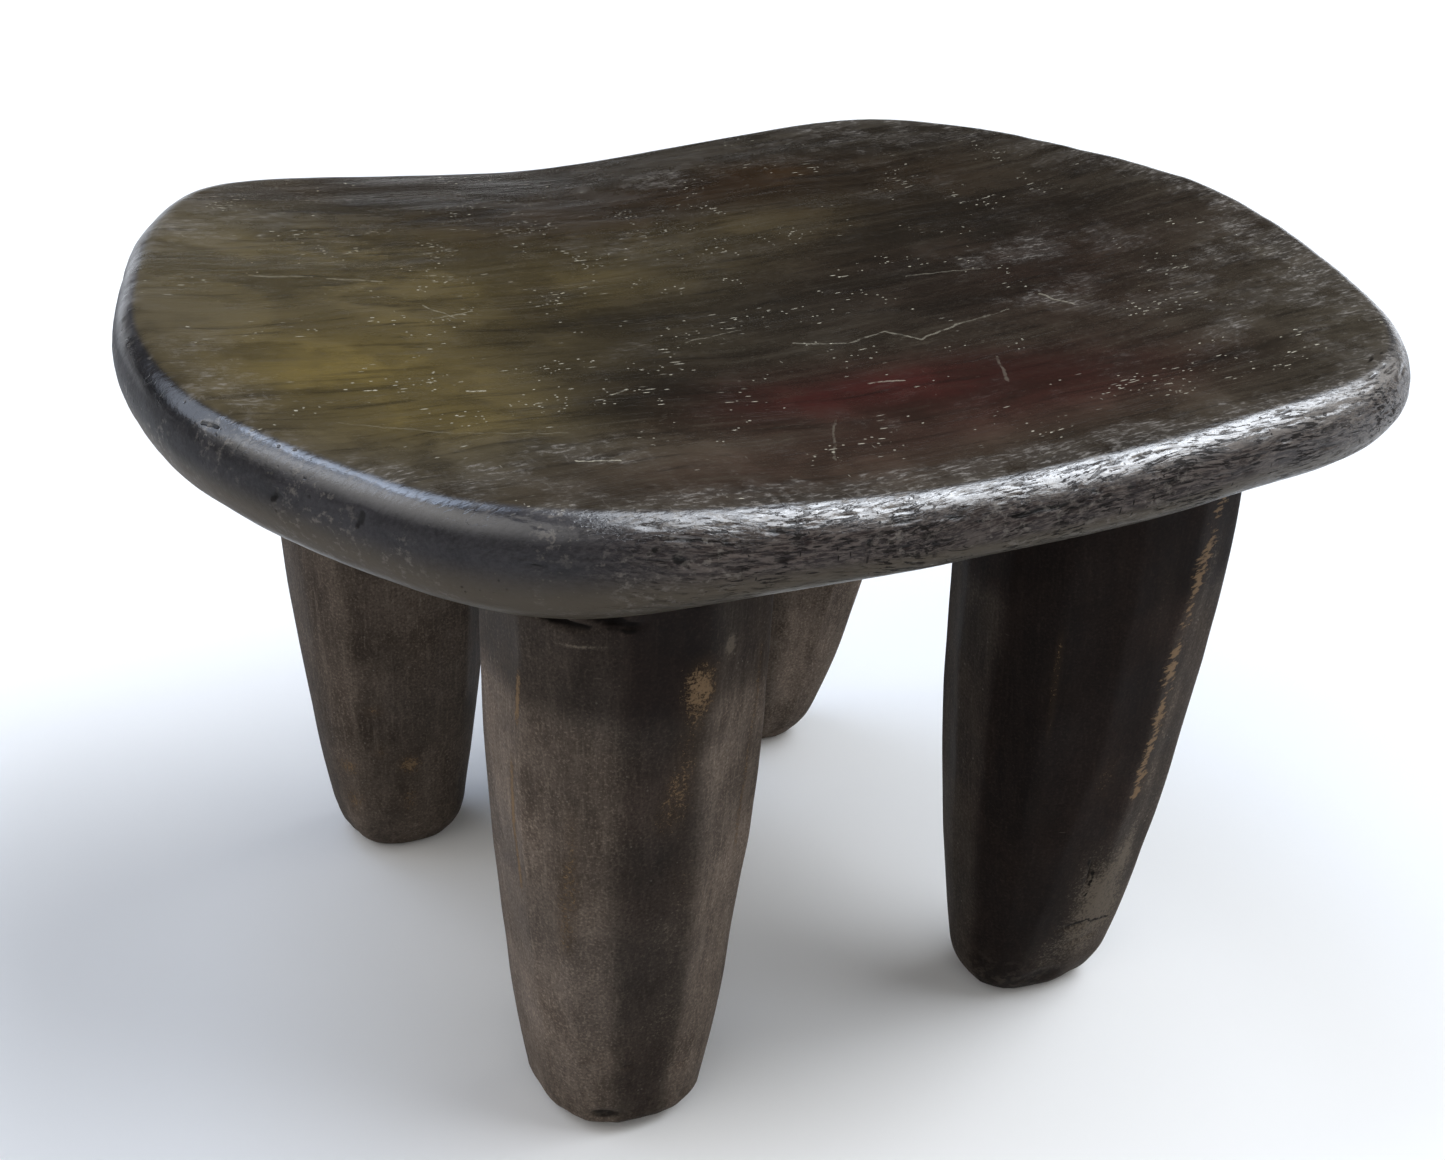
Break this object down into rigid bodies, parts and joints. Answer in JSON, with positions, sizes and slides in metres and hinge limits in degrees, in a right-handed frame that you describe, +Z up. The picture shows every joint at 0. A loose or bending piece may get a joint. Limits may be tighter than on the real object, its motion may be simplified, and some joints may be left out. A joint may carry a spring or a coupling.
{
  "type": "carved wooden stool",
  "caption": "Low carved dark wood stool with a rounded, dished rectangular seat on thick tapering faceted legs, in the manner of Senufo household stools.",
  "frame": {"origin": "on the floor, under the middle of the seat's bounding box", "axes": "+X along the seat's length, +Y across the seat towards the edge away from the usual view, +Z up"},
  "size_m": [0.4, 0.347, 0.2536],
  "materials": {
    "seat_wood": "near-black brown hand-rubbed patina, satin to glossy, pitted and scratched along the grain",
    "leg_wood": "dark charcoal-brown patina, low sheen, adze facets with worn tan edges"
  },
  "bodies": {
    "root": {"seat": "seat_wood", "leg_front_left": "leg_wood", "leg_front_right": "leg_wood", "leg_back_left": "leg_wood", "leg_back_right": "leg_wood"}
  },
  "joints": []
}
